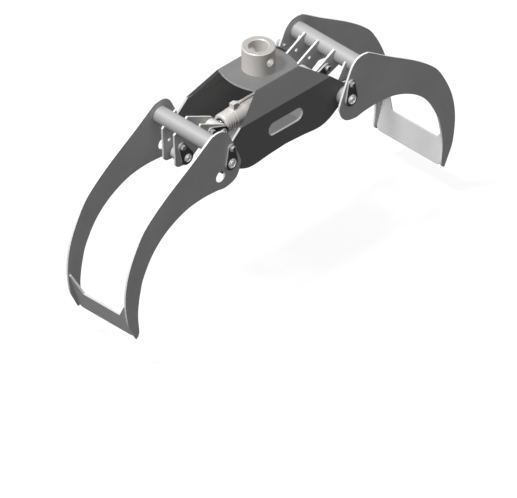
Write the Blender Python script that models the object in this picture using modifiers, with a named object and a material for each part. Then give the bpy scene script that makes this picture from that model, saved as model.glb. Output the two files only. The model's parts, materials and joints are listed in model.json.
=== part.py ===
# Hydraulic timber grapple, fully open, standing on its four jaw tips.
# Units are metres. X is the opening direction, Y runs across the jaws, Z is up.
# The narrow jaw is at -X and the wide jaw at +X. The joints rest at their open stops.

from math import atan2, cos, pi, radians, sin

import bmesh
import bpy
import numpy as np
from mathutils import Matrix, Vector

# General fits
GAP = 0.0003            # between pieces that touch
RUN = 0.0005            # radial clearance of a running fit
PLATE = 0.008           # jaw, lug and retainer plate
SHEET = 0.008           # folded housing sheet

# Pivots and heights
PIVOT_X = 0.275
PIVOT_Z = 0.507
CLOSE_ANGLE = radians(64)

# Housing
TOP_RISE = 0.185        # top panel above the pivots
FOLD_RISE = 0.104       # lower fold above the pivots
TOP_HALF = 0.089        # half width of the top panel
SIDE_HALF = 0.130       # half width over the side plates
TOP_CORNER_X = 0.102    # end of the top panel at its corners
TOP_MIDDLE_X = 0.124    # end of the top panel at its middle
FOLD_END_X = 0.215      # end of the lower fold
EYE_RADIUS = 0.048      # housing round each pivot
BELLY_DROP = 0.066      # lower edge under the pivots, at the middle
BELLY_BULGE = 0.078     # lower edge under the pivots, at its lowest
BULGE_X = 0.157
BELLY_ENTRY = (0.205, -0.067)   # lower edge between eye and bulge, from the middle and the pivots
BELLY_FLAT_X = 0.080
EYE_START = radians(88)
EYE_FINISH = radians(-122.8)
BEND_RADIUS = 0.014
SLOT_LENGTH = 0.164
SLOT_HEIGHT = 0.052
SLOT_RISE = 0.025       # slot centre above the pivots, in the front side only
SHEET_DEPTH = 0.12      # side plates under the pivots, before their lower edge is cut

# Belly plate under the cylinder, as points along X and up from the pivots
BELLY_PLATE = 0.006
BELLY_LINE = [(-0.165, -0.072), (0.013, -0.060), (0.125, -0.060), (0.165, -0.037)]

# Rotator collar
COLLAR_OUTER = 0.058
COLLAR_BORE = 0.035
COLLAR_HEIGHT = 0.090
COLLAR_PIN_RADIUS = 0.016
COLLAR_PIN_DROP = 0.043
COLLAR_CHAMFER = 0.003

# Jaws
NARROW_ROOM = 0.0035    # between housing and narrow jaw
WIDE_ROOM = 0.025       # between housing and wide jaw, filled by the bosses
NARROW_HALF = SIDE_HALF + NARROW_ROOM + PLATE
WIDE_HALF = SIDE_HALF + WIDE_ROOM + PLATE
TUBE_RADIUS = 0.03175
TUBE_WALL = 0.005
TUBE_OUT = 0.064        # cross tube outboard of the pivot
TUBE_UP = 0.093         # cross tube above the pivot
ACCESS_RADIUS = 0.021

# Jaw profile about its pivot, outboard and up, from the inboard foot round the back to the tip
JAW_BACK = [(0.006, 0.130), (0.027, 0.155), (0.051, 0.157), (0.097, 0.140), (0.175, 0.087),
            (0.237, 0.048), (0.308, 0.002), (0.379, -0.052), (0.429, -0.107), (0.481, -0.213),
            (0.500, -0.316), (0.489, -0.419), (0.463, -0.478), (0.448, -0.507)]
JAW_FRONT = [(0.450, -0.467), (0.443, -0.378), (0.418, -0.274), (0.370, -0.196), (0.307, -0.138),
             (0.222, -0.097), (0.142, -0.084), (0.070, -0.086), (0.022, -0.092), (-0.027, -0.076),
             (-0.050, -0.027), (-0.044, 0.004), (-0.028, 0.037), (-0.010, 0.095)]

# Tip plates
TIP_FOOT = (0.443, -0.500)      # lower end, outboard and up from the pivot
TIP_HEAD = (0.474, -0.421)      # upper end
TIP_HEIGHT = 0.084
TIP_WING_RISE = 0.075
TIP_WING_WIDTH = 0.048
TIP_CORNER = 0.024

# Pins
PIN_RADIUS = 0.0175
LINK_PIN_RADIUS = 0.015
PIN_PROUD = 0.005
PIN_CHAMFER = 0.0015
PIN_INSIDE = 0.004      # pivot pins past their inner plate
CYLINDER_PIN = (0.058, 0.044)   # inboard and up from each jaw's pivot
NARROW_LINK_PIN = (-0.047, -0.036)
WIDE_LINK_PIN = (0.066, 0.005)

# Pin retainers
FLAG_BIG = 0.027
FLAG_SMALL = 0.015
FLAG_PITCH = 0.062
LINK_FLAG_PITCH = 0.040
BOLT_RADIUS = 0.006
BOLT_HEAD_RADIUS = 0.0105
BOLT_HEAD_HEIGHT = 0.008
BOLT_TAIL = 0.009
WASHER_RADIUS = 0.012
WASHER_HEIGHT = 0.002

# Cylinder
CYLINDER_Y = -0.006
BARREL_RADIUS = 0.038
BARREL_BORE = 0.0315
BARREL_START = -0.137
BARREL_END = 0.150
ROD_RADIUS = 0.018
GLAND_FRONT = -0.172
GLAND_DEPTH = 0.030     # gland inside the barrel
GLAND_STEPS = [(0.037, 0.007), (0.033, 0.005), (0.0355, 0.007), (0.031, 0.004), (0.033, 0.005)]
GLAND_NOSE = 0.0285
WIPER_RADIUS = 0.0235
WIPER_DEPTH = 0.006
ROD_EYE_RADIUS = 0.027
ROD_EYE_WIDTH = 0.048
BARREL_EYE_RADIUS = 0.029
BARREL_EYE_WIDTH = 0.058
CAP_DEPTH = 0.014       # end cap inside the barrel
CAP_NECK = 0.016        # end cap outside the barrel
CAP_EDGE = 0.004        # step from the barrel to the end cap
TANG_RADIUS = 0.024
PISTON_LENGTH = 0.040
PISTON_X = 0.090
SEAL_HALF = 0.006
SEAL_DEPTH = 0.005
PORT_X = -0.124
PORT_SIZE = 0.021
PORT_RISE = 0.034       # block height, with its seat below the barrel's top
PORT_SEAT = 0.012
PIPE_RADIUS = 0.006
PIPE_END_X = 0.118
PIPE_NUT_RADIUS = 0.0105
PIPE_NUT_LENGTH = 0.013
PIPE_END_RADIUS = 0.013
PIPE_END_RISE = 0.018

# Room in front of and behind each cylinder eye, and from the housing to the outer lugs
ROD_EYE_ROOM = (0.002, 0.005)
BARREL_EYE_ROOM = (0.007, 0.004)
NARROW_LUG_ROOM = 0.035
WIDE_LUG_ROOM = 0.024
PIVOT_LUG_ROOM = 0.010

# Lug planes across the jaws: the middle and front ones stand beside the cylinder's eyes
SIDE_INNER = SIDE_HALF - SHEET
ROD_REACH = (ROD_EYE_WIDTH + PLATE) / 2
BARREL_REACH = (BARREL_EYE_WIDTH + PLATE) / 2
NARROW_LUGS = {"narrow_lug_rear": SIDE_INNER - NARROW_LUG_ROOM - PLATE / 2,
               "narrow_lug_middle": CYLINDER_Y + ROD_REACH + ROD_EYE_ROOM[1]}
ROD_LUG_Y = CYLINDER_Y - ROD_REACH - ROD_EYE_ROOM[0]
WIDE_LUGS = {"wide_lug_rear": SIDE_INNER - WIDE_LUG_ROOM - PLATE / 2,
             "wide_lug_middle": CYLINDER_Y + BARREL_REACH + BARREL_EYE_ROOM[1],
             "wide_lug_front": CYLINDER_Y - BARREL_REACH - BARREL_EYE_ROOM[0]}
PIVOT_LUG_Y = SIDE_INNER - PIVOT_LUG_ROOM - PLATE / 2

# Lug shapes: eyes round the pins, and corners placed outboard and up from the cross tube
LUG_EYE = 0.030
FAR_LINK_EYE = 0.026
PIVOT_LUG_EYE = 0.036
LUG_CORNER = 0.003
LUG_CREST = (-0.025, 0.029)
LUG_HEEL = (-0.010, -0.038)
NARROW_HEEL = (0.036, -0.016)
PIVOT_LUG_CREST = (-0.034, 0.012)
PIVOT_LUG_HEEL = (0.012, -0.036)
LUG_TOE = 0.022
TOE_OUT = 0.028         # toe circle outboard of the tie bar's pin
TOE_DROP = 0.004
ROD_FLAG_TURN = radians(148)
LINK_FLAG_TURN = radians(114)
BARREL_FLAG_TURN = radians(32)

# Pivot bosses and bushes
BOSS_RADIUS = 0.035
BUSH_RADIUS = 0.0225

# Tie bar
TIE_ROOM = 0.007        # beside the bar's eye, to each lug
TIE_Y = sum(NARROW_LUGS.values()) / 2
TIE_EYE_WIDTH = NARROW_LUGS["narrow_lug_rear"] - NARROW_LUGS["narrow_lug_middle"] - PLATE - 2 * TIE_ROOM
TIE_EYE_RADIUS = 0.027
TIE_BAR_RADIUS = 0.016
TIE_FAR_WALL = 0.008
TIE_BUSH_WALL = 0.004

# Facets
BIG_ROUND = 28
ROUND = 20
SMALL_ROUND = 12
OUTLINE_ROUND = 16
ARC_STEPS = 6


# Colours
PAINT_DARK = ("charcoal_paint", (0.130, 0.130, 0.133), 0.55, 0.0)
PAINT_GREY = ("grey_paint", (0.430, 0.430, 0.432), 0.50, 0.0)
BARE_TUBE = ("pale_steel", (0.480, 0.480, 0.480), 0.45, 0.3)
WARM_STEEL = ("warm_steel", (0.520, 0.490, 0.465), 0.42, 0.4)
BLACK_OXIDE = ("black_oxide", (0.015, 0.015, 0.016), 0.40, 0.6)
PIN_STEEL = ("pin_steel", (0.560, 0.560, 0.560), 0.30, 0.9)
CHROME = ("chrome", (0.700, 0.700, 0.700), 0.12, 1.0)
BRONZE = ("bronze", (0.480, 0.330, 0.150), 0.38, 0.9)
SEAL = ("seal_rubber", (0.020, 0.020, 0.020), 0.70, 0.0)


# Scene and collections

def clear_scene():
    for obj in list(bpy.data.objects):
        bpy.data.objects.remove(obj, do_unlink=True)


def collection(name):
    made = bpy.data.collections.new(name)
    bpy.context.scene.collection.children.link(made)
    return made


def paint(spec):
    name, colour, rough, metal = spec
    found = bpy.data.materials.get(name)
    if found:
        return found
    made = bpy.data.materials.new(name)
    made.use_nodes = True
    shader = made.node_tree.nodes["Principled BSDF"]
    shader.inputs["Base Color"].default_value = (*colour, 1)
    shader.inputs["Roughness"].default_value = rough
    shader.inputs["Metallic"].default_value = metal
    made.diffuse_color = (*colour, 1)
    return made


def add_part(name, mesh, spec, joint=None):
    obj = bpy.data.objects.new(name, mesh)
    mesh.materials.clear()
    mesh.materials.append(paint(spec))
    PARTS.objects.link(obj)
    if joint:
        obj.parent = joint
        obj.matrix_parent_inverse = Matrix.Translation(-joint.location)
    return obj


def joint_empty(name, x, z):
    empty = bpy.data.objects.new(name, None)
    empty.location = (x, 0, z)
    PARTS.objects.link(empty)
    return empty


def tool(name, mesh):
    obj = bpy.data.objects.new(name, mesh)
    TOOLS.objects.link(obj)
    obj.hide_render = True
    obj.display_type = "WIRE"
    return obj


def boolean(obj, other, operation="DIFFERENCE"):
    cut = obj.modifiers.new(f"{operation.lower()} {other.name}", "BOOLEAN")
    cut.operation = operation
    cut.solver = "EXACT"
    cut.object = other


# Outlines, as lists of (x, z)

def arc(centre, radius, start, end, steps=ARC_STEPS):
    return [(centre[0] + radius * cos(start + (end - start) * i / steps),
             centre[1] + radius * sin(start + (end - start) * i / steps)) for i in range(steps + 1)]


def hull(circles, steps=OUTLINE_ROUND):
    points = [p for x, z, r in circles for p in arc((x, z), r, 0, 2 * pi, steps)[:-1]]
    points = sorted(set((round(x, 7), round(z, 7)) for x, z in points))

    def half(run):
        chain = []
        for p in run:
            while len(chain) > 1:
                (ax, az), (bx, bz) = chain[-2], chain[-1]
                if (bx - ax) * (p[1] - az) - (bz - az) * (p[0] - ax) > 1e-9:
                    break
                chain.pop()
            chain.append(p)
        return chain[:-1]

    return half(points) + half(points[::-1])


def smooth(points, steps=3):
    """Catmull-Rom curve through the points."""
    run = [Vector(p) for p in points]
    run = [2 * run[0] - run[1]] + run + [2 * run[-1] - run[-2]]
    made = []
    for a, b, c, d in zip(run, run[1:], run[2:], run[3:]):
        for i in range(steps):
            t = i / steps
            made.append(0.5 * (2 * b + (c - a) * t + (2 * a - 5 * b + 4 * c - d) * t * t
                               + (3 * b - a - 3 * c + d) * t ** 3))
    made.append(run[-2])
    return [(p.x, p.y) for p in made]


def filleted(points, radius, steps=5):
    """An open run of points with its inner corners rounded."""
    made = [points[0]]
    for before, corner, after in zip(points, points[1:], points[2:]):
        corner = Vector(corner)
        back = (Vector(before) - corner).normalized()
        ahead = (Vector(after) - corner).normalized()
        half = back.angle(ahead) / 2
        middle = corner + (back + ahead).normalized() * radius / sin(half)
        first = corner + back * radius / np.tan(half)
        last = corner + ahead * radius / np.tan(half)
        start = atan2(first.y - middle.y, first.x - middle.x)
        sweep = atan2(last.y - middle.y, last.x - middle.x) - start
        sweep = (sweep + pi) % (2 * pi) - pi
        made += arc(middle, radius, start, start + sweep, steps)
    return made + [points[-1]]


# Meshes

def flat_mesh(outline, thickness):
    """A flat outline, extruded half its thickness each way along its own Z."""
    curve = bpy.data.curves.new("outline", "CURVE")
    curve.dimensions = "2D"
    curve.fill_mode = "BOTH"
    curve.extrude = thickness / 2
    spline = curve.splines.new("POLY")
    spline.points.add(len(outline) - 1)
    for point, (x, y) in zip(spline.points, outline):
        point.co = (x, y, 0, 1)
    spline.use_cyclic_u = True
    holder = bpy.data.objects.new("outline", curve)
    TOOLS.objects.link(holder)
    graph = bpy.context.evaluated_depsgraph_get()
    mesh = bpy.data.meshes.new_from_object(holder.evaluated_get(graph))
    bpy.data.objects.remove(holder)
    bpy.data.curves.remove(curve)
    tidy(mesh)
    return mesh


def tidy(mesh):
    work = bmesh.new()
    work.from_mesh(mesh)
    bmesh.ops.remove_doubles(work, verts=work.verts, dist=0.00001)
    bmesh.ops.dissolve_limit(work, angle_limit=radians(0.2), verts=work.verts, edges=work.edges)
    bmesh.ops.recalc_face_normals(work, faces=work.faces)
    work.to_mesh(mesh)
    work.free()


STAND = Matrix.Rotation(pi / 2, 4, "X")         # own XY plane to world XZ
ALONG_Y = Matrix.Rotation(-pi / 2, 4, "X")      # own Z to world Y
ALONG_X = Matrix.Rotation(pi / 2, 4, "Y")       # own Z to world X


def plate_mesh(outline, thickness, y):
    mesh = flat_mesh(outline, thickness)
    mesh.transform(Matrix.Translation((0, y, 0)) @ STAND)
    return mesh


def rod_mesh(radius, low, high, turn, place, sides=ROUND):
    """A cylinder along own Z from low to high, turned and then placed."""
    work = bmesh.new()
    shift = Matrix.Translation((0, 0, (low + high) / 2))
    bmesh.ops.create_cone(work, cap_ends=True, segments=sides, radius1=radius,
                          radius2=radius, depth=high - low,
                          matrix=Matrix.Translation(place) @ turn @ shift)
    mesh = bpy.data.meshes.new("rod")
    work.to_mesh(mesh)
    work.free()
    return mesh


def turned(name, profile, turn, place, spec, joint=None, steps=ROUND):
    """A closed profile of (radius, height), down its outer side, turned about own Z."""
    mesh = bpy.data.meshes.new(name)
    count = len(profile)
    closed = min(r for r, _ in profile) > 0
    edges = [(i, (i + 1) % count) for i in range(count if closed else count - 1)]
    mesh.from_pydata([(r, 0, h) for r, h in profile], edges, [])
    obj = add_part(name, mesh, spec, joint)
    obj.matrix_basis = Matrix.Translation(place) @ turn
    screw = obj.modifiers.new("turn", "SCREW")
    screw.steps = steps
    screw.render_steps = steps
    screw.use_merge_vertices = True
    screw.merge_threshold = 0.0001
    screw.use_smooth_shade = True
    return obj


def sleeve_profile(outer, inner, low, high, chamfer=0.0):
    if not chamfer:
        return [(outer, high), (outer, low), (inner, low), (inner, high)]
    return [(outer - chamfer, high), (outer, high - chamfer), (outer, low + chamfer),
            (outer - chamfer, low), (inner, low), (inner, high)]


def pin_profile(radius, low, high):
    c = PIN_CHAMFER
    return [(0, high), (radius - c, high), (radius, high - c), (radius, low + c),
            (radius - c, low), (0, low)]


def hole(name, x, z, radius, y_low, y_high, sides=ROUND):
    return tool(name, rod_mesh(radius, y_low, y_high, ALONG_Y, (x, 0, z), sides))


def outward(side):
    """Sign of X on the side that this jaw opens to."""
    return 1 if side == "wide" else -1


def from_pivot(side, inboard, up):
    return outward(side) * (PIVOT_X - inboard), PIVOT_Z + up


def rotated(vector, angle):
    x, z = vector
    return x * cos(angle) - z * sin(angle), x * sin(angle) + z * cos(angle)


# Frame

def build_housing():
    top, fold, low = (PIVOT_Z + TOP_RISE, PIVOT_Z + FOLD_RISE, PIVOT_Z - SHEET_DEPTH)
    across = filleted([(-SIDE_HALF, low), (-SIDE_HALF, fold), (-TOP_HALF, top), (TOP_HALF, top),
                       (SIDE_HALF, fold), (SIDE_HALF, low)], BEND_RADIUS)
    reach = PIVOT_X + EYE_RADIUS + 0.01
    rows = [(x, y, z) for x in (-reach, reach) for y, z in across]
    n = len(across)
    faces = [(i, i + 1, n + i + 1, n + i) for i in range(n - 1)]
    mesh = bpy.data.meshes.new("housing")
    mesh.from_pydata(rows, [], faces)
    mesh.flip_normals()
    housing = add_part("housing", mesh, PAINT_DARK)
    skin = housing.modifiers.new("sheet", "SOLIDIFY")
    skin.thickness = SHEET
    skin.offset = -1
    skin.use_even_offset = True

    eye = (PIVOT_X, PIVOT_Z)
    right = [(FOLD_END_X, top + 0.02), (FOLD_END_X, fold)]
    right += arc(eye, EYE_RADIUS, EYE_START, EYE_FINISH, 16)
    entry_x, entry_z = BELLY_ENTRY
    belly = smooth([right[-1], (entry_x, PIVOT_Z + entry_z), (BULGE_X, PIVOT_Z - BELLY_BULGE),
                    (BELLY_FLAT_X, PIVOT_Z - BELLY_DROP - 0.005), (0, PIVOT_Z - BELLY_DROP)])
    right += belly[1:]
    left = [(-x, z) for x, z in right[-2::-1]]
    side = tool("housing side", plate_mesh(right + left, 0.4, 0))
    boolean(housing, side, "INTERSECT")

    beyond, beside = 2 * FOLD_END_X, 2 * SIDE_HALF
    height = 2 * (top - fold)
    for sign in (1, -1):
        bow = (TOP_HALF ** 2 + (TOP_MIDDLE_X - TOP_CORNER_X) ** 2) / (2 * (TOP_MIDDLE_X - TOP_CORNER_X))
        half = np.arcsin(TOP_HALF / bow)
        end = arc((TOP_MIDDLE_X - bow, 0), bow, -half, half, 12)
        end += [(FOLD_END_X, SIDE_HALF), (FOLD_END_X, beside), (beyond, beside), (beyond, -beside),
                (FOLD_END_X, -beside), (FOLD_END_X, -SIDE_HALF)]
        mesh = flat_mesh([(sign * x, y) for x, y in end], height)
        mesh.transform(Matrix.Translation((0, 0, fold + height / 2)))
        boolean(housing, tool(f"housing end {sign}", mesh))

    reach = SLOT_LENGTH / 2 - SLOT_HEIGHT / 2
    slot_z = PIVOT_Z + SLOT_RISE
    slot = arc((reach, slot_z), SLOT_HEIGHT / 2, -pi / 2, pi / 2, 10)
    slot += arc((-reach, slot_z), SLOT_HEIGHT / 2, pi / 2, 3 * pi / 2, 10)
    boolean(housing, tool("side slot", plate_mesh(slot, 4 * SHEET, -SIDE_HALF)))
    for side_name in ("narrow", "wide"):
        bore = hole(f"{side_name} pivot bores", outward(side_name) * PIVOT_X, PIVOT_Z,
                    BUSH_RADIUS + GAP, -0.2, 0.2)
        boolean(housing, bore)
    shaft = tool("shaft hole", rod_mesh(COLLAR_BORE, top - 0.05, top + 0.05, Matrix(), (0, 0, 0)))
    boolean(housing, shaft)


def build_belly_plate():
    line = filleted([(x, PIVOT_Z + z) for x, z in BELLY_LINE], BEND_RADIUS, 3)
    half = BELLY_PLATE / 2
    outline = [(x, z + half) for x, z in line] + [(x, z - half) for x, z in line[::-1]]
    add_part("housing_belly_plate", plate_mesh(outline, 2 * (SIDE_INNER - GAP), 0), PAINT_GREY)


def build_collar():
    low = PIVOT_Z + TOP_RISE + GAP
    high = PIVOT_Z + TOP_RISE + COLLAR_HEIGHT
    c = COLLAR_CHAMFER
    profile = [(COLLAR_OUTER - c, high), (COLLAR_OUTER, high - c), (COLLAR_OUTER, low),
               (COLLAR_BORE, low), (COLLAR_BORE, high - c), (COLLAR_BORE + c, high)]
    collar = turned("rotator_collar", profile, Matrix(), (0, 0, 0), WARM_STEEL, steps=BIG_ROUND)
    boolean(collar, hole("collar pin hole", 0, high - COLLAR_PIN_DROP, COLLAR_PIN_RADIUS,
                         -0.1, 0.1))


def build_bosses():
    inner = SIDE_INNER
    for place, sign in (("front", -1), ("rear", 1)):
        outer = WIDE_HALF - PLATE - GAP
        span = sorted((sign * (SIDE_HALF + GAP), sign * outer))
        turned(f"pivot_boss_{place}", sleeve_profile(BOSS_RADIUS, BUSH_RADIUS + GAP, *span),
               ALONG_Y, (PIVOT_X, 0, PIVOT_Z), BARE_TUBE)
        span = sorted((sign * inner, sign * outer))
        turned(f"wide_pivot_bush_{place}", sleeve_profile(BUSH_RADIUS, PIN_RADIUS + GAP, *span),
               ALONG_Y, (PIVOT_X, 0, PIVOT_Z), BRONZE)
        flange = SIDE_HALF + GAP
        outer = NARROW_HALF - PLATE - GAP
        ring = [(BOSS_RADIUS, outer), (BOSS_RADIUS, flange), (BUSH_RADIUS, flange),
                (BUSH_RADIUS, inner), (PIN_RADIUS + GAP, inner), (PIN_RADIUS + GAP, outer)]
        turn = ALONG_Y if sign > 0 else Matrix.Rotation(pi / 2, 4, "X")
        turned(f"narrow_pivot_bush_{place}", ring, turn, (-PIVOT_X, 0, PIVOT_Z), BRONZE)


# Pins, retainers and bolts

def bolt_mesh():
    """Hexagon bolt along own Z, its washer seated at zero and its tail below."""
    work = bmesh.new()
    head_low = WASHER_HEIGHT
    tail = -2 * PLATE - GAP - BOLT_TAIL
    profile = [(0, head_low + 0.001), (WASHER_RADIUS - 0.0005, head_low + 0.001),
               (WASHER_RADIUS, head_low), (WASHER_RADIUS, 0), (BOLT_RADIUS, 0),
               (BOLT_RADIUS, tail + 0.001), (BOLT_RADIUS - 0.001, tail), (0, tail)]
    verts = [work.verts.new((r, 0, h)) for r, h in profile]
    edges = [work.edges.new(pair) for pair in zip(verts, verts[1:])]
    bmesh.ops.spin(work, geom=verts + edges, cent=(0, 0, 0), axis=(0, 0, 1), angle=2 * pi,
                   steps=SMALL_ROUND, use_merge=True)
    bmesh.ops.remove_doubles(work, verts=work.verts, dist=0.00001)
    bmesh.ops.recalc_face_normals(work, faces=work.faces)
    mesh = bpy.data.meshes.new("bolt")
    work.to_mesh(mesh)
    work.free()
    return mesh


def add_bolt(name, x, z, y_face, sign, joint):
    bolt = add_part(name, bolt_mesh(), PIN_STEEL, joint)
    turn = ALONG_Y if sign > 0 else Matrix.Rotation(pi / 2, 4, "X")
    bolt.matrix_basis = Matrix.Translation((x, y_face, z)) @ turn
    low = WASHER_HEIGHT
    head = tool(f"{name} head", rod_mesh(BOLT_HEAD_RADIUS, low, low + BOLT_HEAD_HEIGHT, turn,
                                         (x, y_face, z), 6))
    boolean(bolt, head, "UNION")


def add_pin(stem, x, z, radius, face, end, sign, angle, joint, pitch=FLAG_PITCH):
    """Pin through its plates, the flag plate on it and the bolt that stops it turning.

    face is the outer face that the flag lies on, end the pin's far end, both across the jaw,
    and sign is the side that the flag is on."""
    flag_low = face + sign * GAP
    flag_high = flag_low + sign * PLATE
    span = sorted((end, flag_high + sign * PIN_PROUD))
    turned(f"{stem}_pin", pin_profile(radius, *span), ALONG_Y, (x, 0, z), PIN_STEEL, joint)
    bolt_x = x + pitch * cos(angle)
    bolt_z = z + pitch * sin(angle)
    big = min(FLAG_BIG, pitch * 0.55)
    outline = hull([(x, z, big), (bolt_x, bolt_z, FLAG_SMALL)])
    flag = add_part(f"{stem}_flag", plate_mesh(outline, PLATE, (flag_low + flag_high) / 2),
                    BLACK_OXIDE, joint)
    boolean(flag, hole(f"{stem} flag bore", x, z, radius + GAP, face - 0.03, face + 0.03))
    boolean(flag, hole(f"{stem} flag bolt", bolt_x, bolt_z, BOLT_RADIUS + GAP,
                       face - 0.03, face + 0.03, SMALL_ROUND))
    add_bolt(f"{stem}_bolt", bolt_x, bolt_z, flag_high + sign * GAP, sign, joint)
    return bolt_x, bolt_z


# Jaws

def bore_plate(plate, bores):
    for i, (x, z, radius) in enumerate(bores):
        sides = SMALL_ROUND
        if radius > BOLT_RADIUS + GAP:
            sides = ROUND if radius < TUBE_RADIUS else BIG_ROUND
        boolean(plate, hole(f"{plate.name} bore {i}", x, z, radius, -0.2, 0.2, sides))


def build_jaw(side, half, joint):
    out = outward(side)
    inner = half - PLATE
    outline = [(out * (PIVOT_X + x), PIVOT_Z + z)
               for x, z in smooth(JAW_BACK) + smooth(JAW_FRONT)]
    bolt_z = PIVOT_Z + FLAG_PITCH
    bores = [(out * PIVOT_X, PIVOT_Z, PIN_RADIUS + GAP),
             (out * PIVOT_X, bolt_z, BOLT_RADIUS + GAP)]
    if side == "narrow":
        bores.append((*from_pivot(side, *NARROW_LINK_PIN), ACCESS_RADIUS))
    pin_end = (SIDE_INNER if side == "narrow" else PIVOT_LUG_Y - PLATE / 2) - PIN_INSIDE
    for place, sign in (("front", -1), ("rear", 1)):
        mesh = plate_mesh(outline, PLATE, sign * (inner + PLATE / 2))
        plate = add_part(f"{side}_side_plate_{place}", mesh, PAINT_GREY, joint)
        bore_plate(plate, bores)
        add_pin(f"{side}_pivot_{place}", out * PIVOT_X, PIVOT_Z, PIN_RADIUS, sign * half,
                sign * pin_end, sign, pi / 2, joint)
    tube = sleeve_profile(TUBE_RADIUS, TUBE_RADIUS - TUBE_WALL, -inner + GAP, inner - GAP)
    turned(f"{side}_cross_tube", tube, ALONG_Y,
           (out * (PIVOT_X + TUBE_OUT), 0, PIVOT_Z + TUBE_UP), BARE_TUBE, joint, BIG_ROUND)
    build_tip_plate(side, inner - GAP, joint)


def build_tip_plate(side, half, joint):
    out = outward(side)
    foot = Vector((out * (PIVOT_X + TIP_FOOT[0]), 0, PIVOT_Z + TIP_FOOT[1]))
    up = Vector((out * (TIP_HEAD[0] - TIP_FOOT[0]), 0, TIP_HEAD[1] - TIP_FOOT[1])).normalized()
    corner, wing = TIP_CORNER, half - TIP_WING_WIDTH
    right = arc((half - corner, corner), corner, -pi / 2, 0, 6)
    right += [(half, TIP_HEIGHT + TIP_WING_RISE), (half - 0.006, TIP_HEIGHT + TIP_WING_RISE),
              (wing, TIP_HEIGHT)]
    outline = right + [(-x, y) for x, y in right[::-1]]
    mesh = flat_mesh(outline, PLATE)
    normal = Vector((0, 1, 0)).cross(up)
    turn = Matrix((Vector((0, 1, 0)), up, normal)).transposed().to_4x4()
    mesh.transform(Matrix.Translation(foot) @ turn)
    add_part(f"{side}_tip_plate", mesh, PAINT_GREY, joint)


def lug(name, side, y, circles, bores, joint):
    outline = hull(circles)
    plate = add_part(name, plate_mesh(outline, PLATE, y), PAINT_GREY, joint)
    tube_x = outward(side) * (PIVOT_X + TUBE_OUT)
    bore_plate(plate, [(tube_x, PIVOT_Z + TUBE_UP, TUBE_RADIUS + GAP)] + bores)


def on_tube(side, corner):
    """A small corner circle placed from the cross tube's centre."""
    outboard, up = corner
    return outward(side) * (PIVOT_X + TUBE_OUT + outboard), PIVOT_Z + TUBE_UP + up, LUG_CORNER


def build_narrow_lugs(joint):
    side = "narrow"
    rod_x, rod_z = from_pivot(side, *CYLINDER_PIN)
    link_x, link_z = from_pivot(side, *NARROW_LINK_PIN)
    rod_bolt = add_pin("rod", rod_x, rod_z, PIN_RADIUS, ROD_LUG_Y - PLATE / 2,
                       NARROW_LUGS["narrow_lug_middle"] + PLATE / 2 - GAP, -1, ROD_FLAG_TURN, joint)
    link_bolt = add_pin("narrow_link", link_x, link_z, LINK_PIN_RADIUS,
                        NARROW_LUGS["narrow_lug_middle"] - PLATE / 2,
                        NARROW_LUGS["narrow_lug_rear"] + PLATE / 2, -1, LINK_FLAG_TURN, joint)
    toe = (link_x - TOE_OUT, link_z - TOE_DROP, LUG_TOE)
    circles = [(rod_x, rod_z, LUG_EYE), (link_x, link_z, LUG_EYE), toe,
               on_tube(side, LUG_CREST), on_tube(side, NARROW_HEEL)]
    bores = [(rod_x, rod_z, PIN_RADIUS + GAP), (link_x, link_z, LINK_PIN_RADIUS + GAP),
             (*link_bolt, BOLT_RADIUS + GAP)]
    for name, y in NARROW_LUGS.items():
        lug(name, side, y, circles, bores, joint)
    circles = [(rod_x, rod_z, LUG_EYE), on_tube(side, LUG_CREST), on_tube(side, LUG_HEEL)]
    lug("narrow_rod_lug", side, ROD_LUG_Y, circles,
        [(rod_x, rod_z, PIN_RADIUS + GAP), (*rod_bolt, BOLT_RADIUS + GAP)], joint)


def build_wide_lugs(joint):
    side = "wide"
    barrel_x, barrel_z = from_pivot(side, *CYLINDER_PIN)
    link_x, link_z = from_pivot(side, *WIDE_LINK_PIN)
    front_bolt = add_pin("barrel", barrel_x, barrel_z, PIN_RADIUS,
                         WIDE_LUGS["wide_lug_front"] - PLATE / 2,
                         WIDE_LUGS["wide_lug_middle"] + PLATE / 2 - GAP, -1, BARREL_FLAG_TURN, joint)
    to_barrel = atan2(barrel_z - link_z, barrel_x - link_x)
    link_bolt = add_pin("wide_link", link_x, link_z, LINK_PIN_RADIUS,
                        WIDE_LUGS["wide_lug_rear"] + PLATE / 2,
                        WIDE_LUGS["wide_lug_middle"] - PLATE / 2 + GAP, 1, to_barrel, joint,
                        LINK_FLAG_PITCH)
    arm = [(barrel_x, barrel_z, LUG_EYE), on_tube(side, LUG_CREST), on_tube(side, LUG_HEEL)]
    link_eye = (link_x, link_z, FAR_LINK_EYE)
    front_hole = (*front_bolt, BOLT_RADIUS + GAP)
    link_hole = (link_x, link_z, LINK_PIN_RADIUS + GAP)
    pin_hole = (barrel_x, barrel_z, PIN_RADIUS + GAP)
    bores = {"wide_lug_rear": [link_hole, (*link_bolt, BOLT_RADIUS + GAP), front_hole],
             "wide_lug_middle": [link_hole, pin_hole, front_hole],
             "wide_lug_front": [pin_hole, front_hole]}
    for name, y in WIDE_LUGS.items():
        circles = arm if name == "wide_lug_front" else arm + [link_eye]
        lug(name, side, y, circles, bores[name], joint)
    pivot = (PIVOT_X, PIVOT_Z, PIVOT_LUG_EYE)
    for place, sign in (("front", -1), ("rear", 1)):
        lug(f"wide_pivot_lug_{place}", side, sign * PIVOT_LUG_Y,
            [pivot, on_tube(side, PIVOT_LUG_CREST), on_tube(side, PIVOT_LUG_HEEL)],
            [(PIVOT_X, PIVOT_Z, PIN_RADIUS + GAP)], joint)


# Cylinder, its axis along X

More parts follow.
